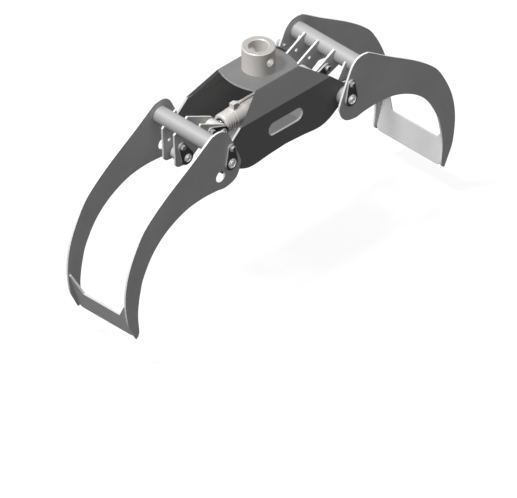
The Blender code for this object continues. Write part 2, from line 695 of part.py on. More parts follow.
def build_cylinder(rod_joint, barrel_joint):
    rod_x, z = from_pivot("narrow", *CYLINDER_PIN)
    barrel_x = from_pivot("wide", *CYLINDER_PIN)[0]
    axis = (0, CYLINDER_Y, z)
    turned("cylinder_barrel", sleeve_profile(BARREL_RADIUS, BARREL_BORE, BARREL_START, BARREL_END,
                                             0.001), ALONG_X, axis, WARM_STEEL, barrel_joint,
           BIG_ROUND)

    cap = [(0, BARREL_END + CAP_NECK), (BARREL_EYE_RADIUS, BARREL_END + CAP_NECK),
           (BARREL_RADIUS - CAP_EDGE, BARREL_END + GAP), (BARREL_BORE - GAP, BARREL_END + GAP),
           (BARREL_BORE - GAP, BARREL_END - CAP_DEPTH), (0, BARREL_END - CAP_DEPTH)]
    end = turned("barrel_eye", cap, ALONG_X, axis, WARM_STEEL, barrel_joint)
    eye = rod_mesh(BARREL_EYE_RADIUS, CYLINDER_Y - BARREL_EYE_WIDTH / 2,
                   CYLINDER_Y + BARREL_EYE_WIDTH / 2, ALONG_Y, (barrel_x, 0, z))
    boolean(end, tool("barrel eye", eye), "UNION")
    tang = rod_mesh(TANG_RADIUS, BARREL_END + CAP_NECK / 2, barrel_x, ALONG_X, axis)
    boolean(end, tool("barrel tang", tang), "UNION")
    boolean(end, hole("barrel eye bore", barrel_x, z, PIN_RADIUS + RUN, -0.1, 0.1))

    front, here = GLAND_FRONT, BARREL_START - GAP
    rings = [(ROD_RADIUS + RUN, BARREL_START + GLAND_DEPTH),
             (BARREL_BORE - GAP, BARREL_START + GLAND_DEPTH), (BARREL_BORE - GAP, here)]
    for radius, length in GLAND_STEPS:
        rings += [(radius, here), (radius, here - length)]
        here -= length
    rings += [(GLAND_NOSE, here - 0.001), (GLAND_NOSE, front + 0.002), (GLAND_NOSE - 0.002, front),
              (WIPER_RADIUS, front), (WIPER_RADIUS, front + WIPER_DEPTH),
              (ROD_RADIUS + RUN, front + WIPER_DEPTH)]
    turned("cylinder_gland", rings, ALONG_X, axis, WARM_STEEL, barrel_joint)
    wiper = sleeve_profile(WIPER_RADIUS - GAP, ROD_RADIUS + GAP, front + 0.0005,
                           front + WIPER_DEPTH - GAP)
    turned("rod_wiper", wiper, ALONG_X, axis, SEAL, barrel_joint)

    rod = [(0, PISTON_X - GAP), (ROD_RADIUS - 0.001, PISTON_X - GAP), (ROD_RADIUS, PISTON_X - 0.002),
           (ROD_RADIUS, rod_x + ROD_EYE_RADIUS + GAP), (0, rod_x + ROD_EYE_RADIUS + GAP)]
    turned("piston_rod", rod, ALONG_X, axis, CHROME, rod_joint)
    rod_eye = add_part("rod_eye", rod_mesh(ROD_EYE_RADIUS, CYLINDER_Y - ROD_EYE_WIDTH / 2,
                                           CYLINDER_Y + ROD_EYE_WIDTH / 2, ALONG_Y,
                                           (rod_x, 0, z)), WARM_STEEL, rod_joint)
    boolean(rod_eye, hole("rod eye bore", rod_x, z, PIN_RADIUS + RUN, -0.1, 0.1))

    high = PISTON_X + PISTON_LENGTH
    groove = PISTON_X + PISTON_LENGTH / 2
    skirt, root = BARREL_BORE - RUN, BARREL_BORE - SEAL_DEPTH
    piston = [(0, high), (skirt - 0.002, high), (skirt, high - 0.002), (skirt, groove + SEAL_HALF),
              (root, groove + SEAL_HALF), (root, groove - SEAL_HALF), (skirt, groove - SEAL_HALF),
              (skirt, PISTON_X), (0, PISTON_X)]
    turned("piston", piston, ALONG_X, axis, PIN_STEEL, rod_joint)
    seal = sleeve_profile(BARREL_BORE - GAP, root + GAP, groove - SEAL_HALF + GAP,
                          groove + SEAL_HALF - GAP)
    turned("piston_seal", seal, ALONG_X, axis, SEAL, rod_joint)
    build_port(z, barrel_joint)


def build_port(z, joint):
    """Port block with the oil pipe along the barrel, one welded piece on a saddle."""
    top = z + BARREL_RADIUS
    work = bmesh.new()
    bmesh.ops.create_cube(work, size=1, matrix=Matrix.Translation(
        (PORT_X, CYLINDER_Y, top + PORT_RISE / 2 - PORT_SEAT)) @ Matrix.Diagonal(
        (PORT_SIZE, PORT_SIZE, PORT_RISE, 1)))
    mesh = bpy.data.meshes.new("port_block")
    work.to_mesh(mesh)
    work.free()
    block = add_part("port_block", mesh, WARM_STEEL, joint)
    edge = block.modifiers.new("edges", "BEVEL")
    edge.width = 0.0015
    edge.segments = 1

    pipe_z = top + PIPE_RADIUS + 0.003
    start = PORT_X + PORT_SIZE / 2 - 0.002
    at = (0, CYLINDER_Y, pipe_z)
    run = rod_mesh(PIPE_RADIUS, start, PIPE_END_X, ALONG_X, at, SMALL_ROUND)
    boolean(block, tool("pipe run", run), "UNION")
    nut = rod_mesh(PIPE_NUT_RADIUS, start, start + PIPE_NUT_LENGTH, ALONG_X, at, 6)
    boolean(block, tool("pipe nut", nut), "UNION")
    stand = rod_mesh(PIPE_END_RADIUS, -0.011, PIPE_END_RISE, Matrix(),
                     (PIPE_END_X, CYLINDER_Y, pipe_z), SMALL_ROUND)
    boolean(block, tool("pipe stand", stand), "UNION")
    saddle = rod_mesh(BARREL_RADIUS + GAP, BARREL_START - 0.05, BARREL_END, ALONG_X,
                      (0, CYLINDER_Y, z), BIG_ROUND)
    boolean(block, tool("barrel saddle", saddle))


# Tie bar

def tie_fit():
    """Rest angle, length and wander of the bar that best follows both jaws.

    The bar turns at a constant share of the jaw's angle, so its far pin wanders in its eye."""
    near = NARROW_LINK_PIN
    far = (-WIDE_LINK_PIN[0], WIDE_LINK_PIN[1])
    count = 24
    half = CLOSE_ANGLE / 2
    turns = [half + half * cos(pi * (i + 0.5) / count) for i in range(count)] + [0, CLOSE_ANGLE]
    spans = []
    for turn in turns:
        ax, az = rotated(near, turn)
        bx, bz = rotated(far, -turn)
        spans.append((2 * PIVOT_X + bx - ax, bz - az))
    lengths = [np.hypot(x, z) for x, z in spans]
    angles = [atan2(z, x) for x, z in spans]
    length = (min(lengths) + max(lengths)) / 2
    rate, rest = np.polyfit(turns[:count], angles[:count], 1)
    wander = max(np.hypot(x - length * cos(rest + rate * t), z - length * sin(rest + rate * t))
                 for t, (x, z) in zip(turns, spans))
    return float(rest), float(length), float(wander), float(rate)


def build_tie_bar(joint):
    rest, length, wander, rate = tie_fit()
    near_x, near_z = from_pivot("narrow", *NARROW_LINK_PIN)
    far_x, far_z = near_x + length * cos(rest), near_z + length * sin(rest)
    bush = LINK_PIN_RADIUS + TIE_BUSH_WALL
    low, high = TIE_Y - TIE_EYE_WIDTH / 2, TIE_Y + TIE_EYE_WIDTH / 2
    far_bore = LINK_PIN_RADIUS + wander + 2 * RUN
    bar = add_part("tie_bar", rod_mesh(TIE_EYE_RADIUS, low, high, ALONG_Y, (near_x, 0, near_z)),
                   PAINT_GREY, joint)
    far_eye = rod_mesh(far_bore + TIE_FAR_WALL, low, high, ALONG_Y, (far_x, 0, far_z))
    boolean(bar, tool("tie bar far eye", far_eye), "UNION")
    lean = Matrix.Rotation(-rest, 4, "Y") @ ALONG_X
    shank = rod_mesh(TIE_BAR_RADIUS, bush, length - far_bore - 0.002, lean, (near_x, TIE_Y, near_z),
                     SMALL_ROUND)
    boolean(bar, tool("tie bar shank", shank), "UNION")
    boolean(bar, hole("tie bar near bore", near_x, near_z, bush + GAP, -0.1, 0.2))
    boolean(bar, hole("tie bar far bore", far_x, far_z, far_bore, -0.1, 0.2))
    turned("tie_bar_bush", sleeve_profile(bush, LINK_PIN_RADIUS + RUN, low, high), ALONG_Y,
           (near_x, 0, near_z), BRONZE, joint)


def shade_round():
    for obj in PARTS.objects:
        if obj.type == "MESH":
            obj.data.shade_smooth()
            obj.data.set_sharp_from_angle(angle=radians(35))


def build():
    narrow = joint_empty("narrow_jaw_axis", -PIVOT_X, PIVOT_Z)
    wide = joint_empty("wide_jaw_axis", PIVOT_X, PIVOT_Z)
    rod = joint_empty("rod_axis", *from_pivot("narrow", *CYLINDER_PIN))
    barrel = joint_empty("barrel_axis", *from_pivot("wide", *CYLINDER_PIN))
    tie = joint_empty("tie_bar_axis", *from_pivot("narrow", *NARROW_LINK_PIN))
    build_housing()
    build_belly_plate()
    build_collar()
    build_bosses()
    build_jaw("narrow", NARROW_HALF, narrow)
    build_jaw("wide", WIDE_HALF, wide)
    build_narrow_lugs(narrow)
    build_wide_lugs(wide)
    build_cylinder(rod, barrel)
    build_tie_bar(tie)
    shade_round()


clear_scene()
PARTS = collection("hydraulic_grapple")
TOOLS = collection("cutters")
build()
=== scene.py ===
"""Looks of the hydraulic timber grapple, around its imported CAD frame. Metres, +Z up."""
import json
from math import asin, atan2, cos, pi, radians, sin, sqrt, tan

import bmesh
import bpy
from mathutils import Matrix, Vector

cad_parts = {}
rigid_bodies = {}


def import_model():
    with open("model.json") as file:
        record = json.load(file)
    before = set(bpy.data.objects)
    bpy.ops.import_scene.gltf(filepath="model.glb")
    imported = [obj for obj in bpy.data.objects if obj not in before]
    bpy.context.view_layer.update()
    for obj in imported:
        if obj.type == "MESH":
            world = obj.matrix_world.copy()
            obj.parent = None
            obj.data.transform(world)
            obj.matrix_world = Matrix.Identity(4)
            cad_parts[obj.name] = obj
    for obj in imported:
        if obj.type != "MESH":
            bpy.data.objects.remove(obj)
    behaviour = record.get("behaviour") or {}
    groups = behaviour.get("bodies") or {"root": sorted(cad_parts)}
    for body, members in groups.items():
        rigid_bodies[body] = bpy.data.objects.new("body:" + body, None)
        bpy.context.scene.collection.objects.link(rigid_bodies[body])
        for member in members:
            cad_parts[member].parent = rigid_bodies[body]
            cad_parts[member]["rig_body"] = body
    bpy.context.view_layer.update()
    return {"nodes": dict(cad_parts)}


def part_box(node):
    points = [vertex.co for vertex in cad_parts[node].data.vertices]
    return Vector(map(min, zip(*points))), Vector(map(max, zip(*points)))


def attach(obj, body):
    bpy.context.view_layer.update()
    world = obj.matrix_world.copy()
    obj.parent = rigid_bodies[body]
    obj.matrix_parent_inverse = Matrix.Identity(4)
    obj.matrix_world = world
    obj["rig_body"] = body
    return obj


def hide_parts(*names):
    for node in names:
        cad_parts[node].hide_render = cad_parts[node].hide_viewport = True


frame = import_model()
NODES = frame["nodes"]

ALONG_X = Matrix.Rotation(pi / 2, 4, "Y")
ALONG_Y = Matrix.Rotation(-pi / 2, 4, "X")
AGAINST_Y = Matrix.Rotation(pi / 2, 4, "X")
SECTION_YZ = Matrix(((0, 0, 1, 0), (1, 0, 0, 0), (0, 1, 0, 0), (0, 0, 0, 1)))

# Sizes from the source, and those that only the looks need. Places are from the axis between the jaws
GAP, RUN, PLATE = 0.0003, 0.0005, 0.008
WELD, THROUGH = 0.00001, 0.2
PIVOT_X, PIVOT_Z = 0.275, 0.507
SIDE_HALF, NARROW_HALF, WIDE_HALF = 0.130, 0.1415, 0.163
TOP_Z, COLLAR_TOP = 0.692, 0.782
FLOOR_Z = -0.125  # a grapple hangs: closed, its tips reach down to the floor

# Housing and collar. The top's ends are bowed outward, and BELLY is the side plates' lower edge
TOP_HALF, TOP_END, TOP_BOW = 0.089, 0.124, 0.022
FOLD_Z, FOLD_RADIUS, INNER_FOLD_RADIUS = PIVOT_Z + 0.104, 0.006, 0.002
# HIGHLIGHT_BELOW is the height under which the housing's cut edges get a painted highlight
SLOPE_END, HIGHLIGHT_BELOW = 0.215, 0.58
EYE_RADIUS, EYE_START, EYE_FINISH = 0.048, 88, -122.8
BELLY = [(0.205, -0.067), (0.157, -0.078), (0.080, -0.071), (0, -0.066)]
SLOT_HALF, SLOT_RADIUS, SLOT_Z = 0.056, 0.026, PIVOT_Z + 0.025
COLLAR_OUTER, COLLAR_BORE, COLLAR_PIN_RADIUS, COLLAR_PIN_DROP = 0.058, 0.035, 0.016, 0.043
COLLAR_CHAMFER = 0.003

# Cross tubes from the pivot, pins, flags and bolts. A link pin's place is from the pivot, inboard and up
TUBE_RADIUS, TUBE_WALL, TUBE_OUT, TUBE_UP = 0.03175, 0.005, 0.064, 0.093
ACCESS_RADIUS = 0.021
PIN_RADIUS, LINK_PIN_RADIUS, PIN_PROUD = 0.0175, 0.015, 0.005
CYLINDER_PIN, NARROW_LINK_PIN, WIDE_LINK_PIN = (0.058, 0.044), (-0.047, -0.036), (0.066, 0.005)
FLAG_BIG, FLAG_SMALL, FLAG_PITCH, LINK_FLAG_PITCH = 0.027, 0.015, 0.062, 0.040
PIN_BOSS, PIN_RING, PIN_GROOVE = 0.58, 0.80, 0.0044
BOLT_RADIUS, BOLT_HEAD_RADIUS, BOLT_HEAD_HEIGHT, BOLT_TAIL = 0.006, 0.0105, 0.008, 0.009
THREAD_PITCH, THREAD_DEPTH = 0.00175, 0.0007
WASHER_RADIUS, WASHER_HEIGHT = 0.012, 0.002

# Lugs across Y, and their corners from the cross tube, outboard and up
NARROW_LUGS = {"narrow_lug_rear": 0.083, "narrow_lug_middle": 0.027}
WIDE_LUGS = {"wide_lug_rear": 0.094, "wide_lug_middle": 0.031, "wide_lug_front": -0.046}
ROD_LUG_Y, PIVOT_LUG_Y = -0.036, 0.108
LUG_EYE, PIVOT_LUG_EYE, LUG_TOE = 0.030, 0.036, 0.022
LUG_HIGH, LUG_LOW = (-0.025, 0.029), (-0.010, -0.038)
BOSS_RADIUS, BUSH_RADIUS = 0.035, 0.0225

# Cylinder along X. Each gland step has a radius and a length
CYLINDER_Y, CYLINDER_Z = -0.006, PIVOT_Z + CYLINDER_PIN[1]
ROD_PIN_X = PIVOT_X - CYLINDER_PIN[0]
BARREL_RADIUS, BARREL_BORE, BARREL_START, BARREL_END = 0.038, 0.0315, -0.137, 0.150
ROD_RADIUS, GLAND_FRONT, GLAND_DEPTH = 0.018, -0.186, 0.030
GLAND_STEPS = [(0.037, 0.0128), (0.0345, 0.0022), (0.0365, 0.0088), (0.0345, 0.0022), (0.0365, 0.0088),
               (0.0345, 0.0022), (0.0355, 0.006)]
GLAND_NOSE, WIPER_RADIUS, WIPER_DEPTH = 0.034, 0.0235, 0.006
ROD_EYE_RADIUS, ROD_EYE_WIDTH = 0.027, 0.048
BARREL_EYE_RADIUS, BARREL_EYE_WIDTH = 0.029, 0.058
NECK_RADIUS, NECK_LENGTH, NECK_DEPTH = 0.024, 0.016, 0.014
PISTON_X = 0.090
PORT_X, PORT_SIZE, PORT_RISE, PORT_SEAT = -0.124, 0.021, 0.034, 0.012
PIPE_RADIUS, PIPE_END_X, PIPE_END_RADIUS, PIPE_END_RISE = 0.006, 0.118, 0.013, 0.018
PIPE_NUT_RADIUS, PIPE_NUT_LENGTH = 0.0105, 0.011

# A jaw's side plate from its pivot, outboard and up: crown and back down to the tip, then the front up again
OUT = {"narrow": -1, "wide": 1}
JAW_BACK = [(-0.005, 0.092), (0.0035, 0.1095), (0.014, 0.1265), (0.028, 0.1395), (0.044, 0.1465),
            (0.060, 0.1485), (0.078, 0.1465), (0.097, 0.1395), (0.175, 0.087), (0.237, 0.048),
            (0.308, 0.002), (0.379, -0.052), (0.429, -0.107), (0.481, -0.213), (0.500, -0.316),
            (0.489, -0.419), (0.463, -0.478), (0.448, -0.507)]
JAW_FRONT = [(0.438, -0.500), (0.434, -0.480), (0.4385, -0.436), (0.4395, -0.402), (0.436, -0.365),
             (0.430, -0.330), (0.414, -0.272), (0.370, -0.196), (0.307, -0.138), (0.222, -0.097),
             (0.142, -0.084), (0.070, -0.086), (0.022, -0.092), (-0.027, -0.076), (-0.050, -0.027),
             (-0.044, 0.004), (-0.030, 0.037), (-0.018, 0.065)]

# The plate between a jaw's tips: its foot from the pivot, its slope, and its wings' outline from the foot
TIP_FOOT, TIP_LEAN, TIP_HEIGHT, TIP_CORNER = (0.4412, -0.5045), (0.0271, 0.079), 0.089, 0.022
WING_HEIGHT, WING_END, WING_FOOT = 0.157, 0.006, 0.048

# Floor, light and camera, the camera aimed a little under the frame's base
FLOOR_HALF, FLOOR_SEEN, WORLD_LIGHT = 30, 0.75, 0.21
KEY_SOURCE, KEY_LIGHT, FILL_LIGHT = (-0.56, 0.16, 1.20), 2.0, 2.9
VIEW_AZIMUTH, VIEW_RISE, VIEW_SPAN, VIEW_Z, VIEW_REACH = -45, 35.264, 1.743, COLLAR_TOP - 0.841, 6


# Materials

class Nodes:
    """Short calls for building one material's nodes."""

    def __init__(self, name):
        self.material = bpy.data.materials.new(name)
        self.material.use_nodes = True
        self.tree = self.material.node_tree
        self.shader = self.tree.nodes["Principled BSDF"]
        self.place = self.add("ShaderNodeTexCoord").outputs["Object"]

    def add(self, kind, values=None, **settings):
        node = self.tree.nodes.new(kind)
        for key, value in settings.items():
            setattr(node, key, value)
        for socket, value in (values or {}).items():
            if isinstance(value, bpy.types.NodeSocket):
                self.tree.links.new(value, node.inputs[socket])
            else:
                node.inputs[socket].default_value = value
        return node

    def noise(self, scale, detail=3, vector=None, rough=0.5):
        return self.add("ShaderNodeTexNoise", {"Vector": vector or self.place, "Scale": scale,
                                               "Detail": detail, "Roughness": rough}).outputs["Fac"]

    def span(self, value, low, high, to_low, to_high):
        return self.add("ShaderNodeMapRange", {"Value": value, "From Min": low, "From Max": high,
                                               "To Min": to_low, "To Max": to_high}).outputs["Result"]

    def sums(self, a, b, operation="MULTIPLY"):
        return self.add("ShaderNodeMath", {0: a, 1: b}, operation=operation).outputs[0]

    def mix(self, share, a, b):
        return self.add("ShaderNodeMix", {0: share, 6: a, 7: b}, data_type="RGBA").outputs[2]

    def facing(self):
        """The surface's own direction, split in X, Y and Z."""
        return self.add("ShaderNodeSeparateXYZ", {0: self.add("ShaderNodeTexCoord").outputs["Normal"]}).outputs

    def edges(self, width):
        """One where a surface bends within the width, zero where it is flat."""
        rounded = self.add("ShaderNodeBevel", {"Radius": width}, samples=6).outputs["Normal"]
        flat = self.add("ShaderNodeNewGeometry").outputs["Normal"]
        facing = self.add("ShaderNodeVectorMath", {0: rounded, 1: flat},
                          operation="DOT_PRODUCT").outputs["Value"]
        return self.span(facing, 0.985, 0.90, 0, 1)

    def bump(self, height, strength, distance, below=None):
        values = {"Height": height, "Strength": strength, "Distance": distance}
        if below:
            values["Normal"] = below
        return self.add("ShaderNodeBump", values).outputs["Normal"]

    def link(self, value, socket):
        self.tree.links.new(value, self.shader.inputs[socket])


def grey(level, warm=0.0):
    """A neutral colour, or a slightly warm one."""
    return (level * (1 + warm), level, level * (1 - warm), 1)


def painted(name, level, rough, worn=0.5, rim_highlight=None, bent=False):
    """Sprayed paint: soft cloudy tone, orange peel, fine dust and paint rubbed thin on the edges.

    rim is a painted highlight: the paler level painted on a plate's cut edges, where the light would catch
    them. A bent sheet gets it at its ends and below."""
    n = Nodes(name)
    cloud = n.noise(7, 4)
    speck = n.noise(420, 2)
    base = n.mix(n.span(cloud, 0.3, 0.7, 0, 1), grey(level * 0.93), grey(level * 1.07))
    base = n.mix(n.span(speck, 0.62, 0.75, 0, 0.25), base, grey(level * 1.35))
    scuffs = n.span(n.noise(38, 5, rough=0.7), 0.50, 0.66, 0, worn)
    rubbed = n.sums(n.edges(0.0022), scuffs)
    base = n.mix(rubbed, base, grey(min(level * 1.9 + 0.10, 0.7)))
    # Painted highlight: the cut edges get a paler, streaky colour, as if they caught the light
    if rim_highlight:
        facing = n.facing()
        across = n.sums(facing[1], 0.0, "ABSOLUTE")
        cut_face = n.span(across, 0.75, 0.45, 0, 1)
        # On a bent sheet the painted highlight also lies on its ends and on its cut edges low down
        if bent:
            height = n.add("ShaderNodeSeparateXYZ", {0: n.place}).outputs[2]
            low = n.sums(cut_face, n.span(height, HIGHLIGHT_BELOW + 0.005, HIGHLIGHT_BELOW - 0.005, 0, 1))
            ends = n.span(n.sums(facing[0], 0.0, "ABSOLUTE"), 0.25, 0.5, 0, 1)
            cut_face = n.sums(low, ends, "MAXIMUM")
        streaks = n.noise(150, 4)
        edge_highlight = n.mix(n.span(streaks, 0.3, 0.7, 0, 1), grey(rim_highlight * 0.9), grey(rim_highlight * 1.1))
        base = n.mix(cut_face, base, edge_highlight)
    n.link(base, "Base Color")
    n.link(n.span(n.sums(cloud, n.noise(90, 3), "ADD"), 0.7, 1.3, rough - 0.06, rough + 0.08), "Roughness")
    peel = n.bump(n.noise(330, 2), 0.10, 0.0006)
    n.link(n.bump(n.noise(60, 4), 0.06, 0.0010, peel), "Normal")
    n.shader.inputs["Specular IOR Level"].default_value = 0.5
    return n.material


def machined(name, level, rough, metal, warm=0.0, ring=0.06, face=None):
    """Turned or ground steel: fine rings about the piece's own axis, cloudy tone and small scratches.

    face is the darker level of a painted shade on the upward faces, mottled a little."""
    n = Nodes(name)
    split = n.add("ShaderNodeSeparateXYZ", {0: n.place})
    flat = n.add("ShaderNodeCombineXYZ", {0: split.outputs[0], 1: split.outputs[1]}).outputs[0]
    radius = n.add("ShaderNodeVectorMath", {0: flat}, operation="LENGTH").outputs["Value"]
    lathe = n.add("ShaderNodeCombineXYZ", {0: n.sums(radius, 1400.0), 1: n.sums(split.outputs[2], 1400.0)})
    rings = n.noise(1, 2, lathe.outputs[0])
    cloud = n.noise(16, 4)
    base = n.mix(n.span(rings, 0.3, 0.7, 0, 1), grey(level * (1 - ring), warm), grey(level * (1 + ring), warm))
    # Painted shade: faces turned upward are darkened to the face level
    if face:
        painted_top_shade = n.mix(n.noise(60, 4), grey(face * 0.85, warm), grey(face * 1.15, warm))
        base = n.mix(n.span(n.facing()[2], 0.6, 0.9, 0, 1), base, painted_top_shade)
    base = n.mix(n.span(cloud, 0.45, 0.72, 0, 0.22), base, grey(level * 0.82, warm * 1.4))
    n.link(base, "Base Color")
    n.link(n.span(cloud, 0.3, 0.7, rough - 0.07, rough + 0.07), "Roughness")
    ridges = n.bump(rings, 0.10, 0.0003)
    n.link(n.bump(n.noise(120, 3), 0.04, 0.0006, ridges), "Normal")
    n.shader.inputs["Metallic"].default_value = metal
    return n.material


def rubber(name):
    """Matt black rubber."""
    n = Nodes(name)
    n.link(n.mix(n.noise(80, 3), grey(0.012), grey(0.022)), "Base Color")
    n.link(n.span(n.noise(40, 3), 0.3, 0.7, 0.6, 0.75), "Roughness")
    n.link(n.bump(n.noise(500, 2), 0.15, 0.0004), "Normal")
    return n.material


LOOKS = {
    # The housing paint, with a painted highlight on its cut edges and ends
    "charcoal_paint": painted("housing_paint", 0.135, 0.46, rim_highlight=0.42, bent=True),
    "grey_paint": painted("jaw_paint", 0.47, 0.50, 0.35),
    # The jaw paint again, made paler (0.59 against 0.47) as painted light on the plates' faces, with a painted
    # highlight on their cut edges
    "grey_plate": painted("jaw_plate_paint", 0.59, 0.50, 0.35, rim_highlight=0.68),
    # The jaw paint again, made much darker (0.19 against 0.47) as painted shade on the guard plate inside the
    # housing
    "grey_guard": painted("guard_plate_paint", 0.19, 0.55, 0.35),
    "pale_steel": machined("bare_steel", 0.33, 0.48, 0.12),
    "warm_steel": machined("cast_steel", 0.56, 0.40, 0.12, warm=0.034),
    "black_oxide": painted("black_oxide_finish", 0.014, 0.42, 0.12),
    # The black finish again, with a painted highlight on the flags' cut edges
    "black_flag": painted("black_flag_finish", 0.014, 0.42, 0.12, rim_highlight=0.36),
    # The collar's steel, with painted shade on its upward faces
    "collar_steel": machined("collar_steel", 0.63, 0.40, 0.12, warm=0.034, face=0.34),
    "pin_steel": machined("pin_steel", 0.86, 0.32, 0.45),
    "bolt_steel": machined("bolt_steel", 0.46, 0.34, 0.45),
    "chrome": machined("hard_chrome", 0.70, 0.14, 1.0, ring=0.01),
    "bronze": machined("bush_bronze", 0.42, 0.38, 0.9, warm=0.28),
    "seal_rubber": rubber("wiper_rubber"),
}


# Meshes

def new_object(name, data):
    obj = bpy.data.objects.new(name, data)
    bpy.context.scene.collection.objects.link(obj)
    return obj


def result_of(obj):
    """A mesh of the object as it is with its modifiers."""
    bpy.context.view_layer.update()
    return bpy.data.meshes.new_from_object(obj.evaluated_get(bpy.context.evaluated_depsgraph_get()))


def applied(obj):
    """Gives the object its mesh as modified."""
    mesh = result_of(obj)
    obj.modifiers.clear()
    obj.data = mesh


def finished(obj, sharp):
    """Applies modifiers, shades smooth up to the angle and keeps big flat faces flat."""
    obj.data.shade_smooth()
    obj.data.set_sharp_from_angle(angle=radians(sharp))
    weigh = obj.modifiers.new("weighted", "WEIGHTED_NORMAL")
    weigh.keep_sharp = True
    applied(obj)


def bevelled(obj, width, angle):
    """Breaks the edges that are sharper than the angle."""
    step = obj.modifiers.new("edges", "BEVEL")
    step.width = width
    step.segments = 2
    step.limit_method = "ANGLE"
    step.angle_limit = radians(angle)


def rounded(profile, radius, steps=3, closed=True):
    """A profile whose corners off the axis are rounded."""
    made = []
    count = len(profile)
    for i, point in enumerate(profile):
        if point[0] < 1e-6 or (not closed and i in (0, count - 1)):
            made.append(point)
            continue
        here = Vector(point)
        back, ahead = Vector(profile[i - 1]) - here, Vector(profile[(i + 1) % count]) - here
        reach = min(radius, back.length * 0.45, ahead.length * 0.45)
        a, b = here + back.normalized() * reach, here + ahead.normalized() * reach
        for k in range(steps + 1):
            t = k / steps
            q = a * (1 - t) ** 2 + here * 2 * t * (1 - t) + b * t * t
            made.append((q.x, q.y))
    return made


def folded(points, radius, steps=4):
    """An open run of points with its corners bent to about the radius."""
    made = [points[0]]
    for before, corner, after in zip(points, points[1:], points[2:]):
        corner = Vector(corner)
        back, ahead = (Vector(before) - corner).normalized(), (Vector(after) - corner).normalized()
        reach = radius / tan(back.angle(ahead) / 2)
        a, b = corner + back * reach, corner + ahead * reach
        for i in range(steps + 1):
            t = i / steps
            made.append(tuple(a * (1 - t) ** 2 + corner * 2 * t * (1 - t) + b * t * t))
    return made + [points[-1]]


def spun(profile, steps=96, closed=True):
    """Profile of (radius, height) turned about Z."""
    work = bmesh.new()
    verts = [work.verts.new((r, 0, h)) for r, h in profile]
    pairs = list(zip(verts, verts[1:])) + ([(verts[-1], verts[0])] if closed else [])
    edges = [work.edges.new(pair) for pair in pairs]
    bmesh.ops.spin(work, geom=verts + edges, cent=(0, 0, 0), axis=(0, 0, 1), angle=2 * pi,
                   steps=steps, use_merge=True)
    bmesh.ops.remove_doubles(work, verts=work.verts, dist=0.000001)
    bmesh.ops.recalc_face_normals(work, faces=work.faces)
    return work


def sleeve(outer, inner, low, high, round_off=0.0008):
    """Profile of a tube."""
    return rounded([(outer, high), (outer, low), (inner, low), (inner, high)], round_off)


def disc(outer, low, high, round_off=0.0008):
    """Profile of a solid bar. It is open on the axis."""
    return rounded([(0, high), (outer, high), (outer, low), (0, low)], round_off, closed=False)


def prism(radius, low, high, sides=6, chamfer=0.0012, turn=0.0):
    """Hexagon or square bar along Z with chamfered ends."""
    work = bmesh.new()
    rings = []
    angles = [turn + 2 * pi * i / sides for i in range(sides)]
    for h, r in ((low, radius - chamfer), (low + chamfer * 0.5, radius), (high - chamfer * 0.6, radius),
                 (high, radius - chamfer)):
        rings.append([work.verts.new((r * cos(angle), r * sin(angle), h)) for angle in angles])
    for a, b in zip(rings, rings[1:]):
        for i in range(sides):
            work.faces.new((a[i], a[(i + 1) % sides], b[(i + 1) % sides], b[i]))
    work.faces.new(rings[0][::-1])
    work.faces.new(rings[-1])
    bmesh.ops.recalc_face_normals(work, faces=work.faces)
    return work


def joined(name, parts):
    """One object of several (bmesh, matrix) parts."""
    whole = bmesh.new()
    for part, place in parts:
        bmesh.ops.transform(part, matrix=place, verts=part.verts)
        mesh = bpy.data.meshes.new("part")
        part.to_mesh(mesh)
        part.free()
        whole.from_mesh(mesh)
        bpy.data.meshes.remove(mesh)
    mesh = bpy.data.meshes.new(name)
    whole.to_mesh(mesh)
    whole.free()
    return new_object(name, mesh)


def prism_of(outline, low, high, turn):
    """A solid of one outline, from low to high along its own Z."""
    work = bmesh.new()
    lower, upper = ([work.verts.new((x, y, h)) for x, y in outline] for h in (low, high))
    work.faces.new(lower)
    work.faces.new(upper)
    for i in range(len(outline)):
        work.faces.new((lower[i - 1], lower[i], upper[i], upper[i - 1]))
    bmesh.ops.recalc_face_normals(work, faces=work.faces)
    return joined("prism", [(work, turn)])


def cut(obj, other, operation="DIFFERENCE"):
    """Cuts obj with the other object, which is used up."""
    step = obj.modifiers.new("cut", "BOOLEAN")
    step.object = other
    step.operation = operation
    step.solver = "EXACT"
    applied(obj)
    bpy.data.objects.remove(other)


def dressed(obj, node, sharp=50, look=None):
    """obj stands for the CAD node: its body, finish and material slot."""
    finished(obj, sharp)
    slot = NODES[node].data.materials[0].name
    obj.data.materials.clear()
    obj.data.materials.append(LOOKS[look or slot])
    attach(obj, NODES[node]["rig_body"])
    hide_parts(node)


def turned(node, profile, turn, place, steps=96, closed=True):
    """A node as a turned piece. An open profile starts and ends on the axis."""
    obj = joined(f"{node}_turned", [(spun(profile, steps, closed), Matrix())])
    obj.matrix_world = Matrix.Translation(place) @ turn
    dressed(obj, node)


def arc(x, z, radius, start, end, steps):
    """Points along an arc, between two angles in radians."""
    angles = [start + (end - start) * i / steps for i in range(steps + 1)]
    return [(x + radius * cos(angle), z + radius * sin(angle)) for angle in angles]


def circle(x, z, radius, steps=64):
    return arc(x, z, radius, 0, 2 * pi, steps)[:-1]


def hull(circles):
    """The outline that a band laid round the circles would take."""
    points = sorted(set((round(x, 7), round(z, 7)) for c in circles for x, z in circle(*c, 96)))

    def half(run):
        chain = []
        for p in run:
            while len(chain) > 1:
                (ax, az), (bx, bz) = chain[-2], chain[-1]
                if (bx - ax) * (p[1] - az) - (bz - az) * (p[0] - ax) > 1e-10:
                    break
                chain.pop()
            chain.append(p)
        return chain[:-1]

    return half(points) + half(points[::-1])


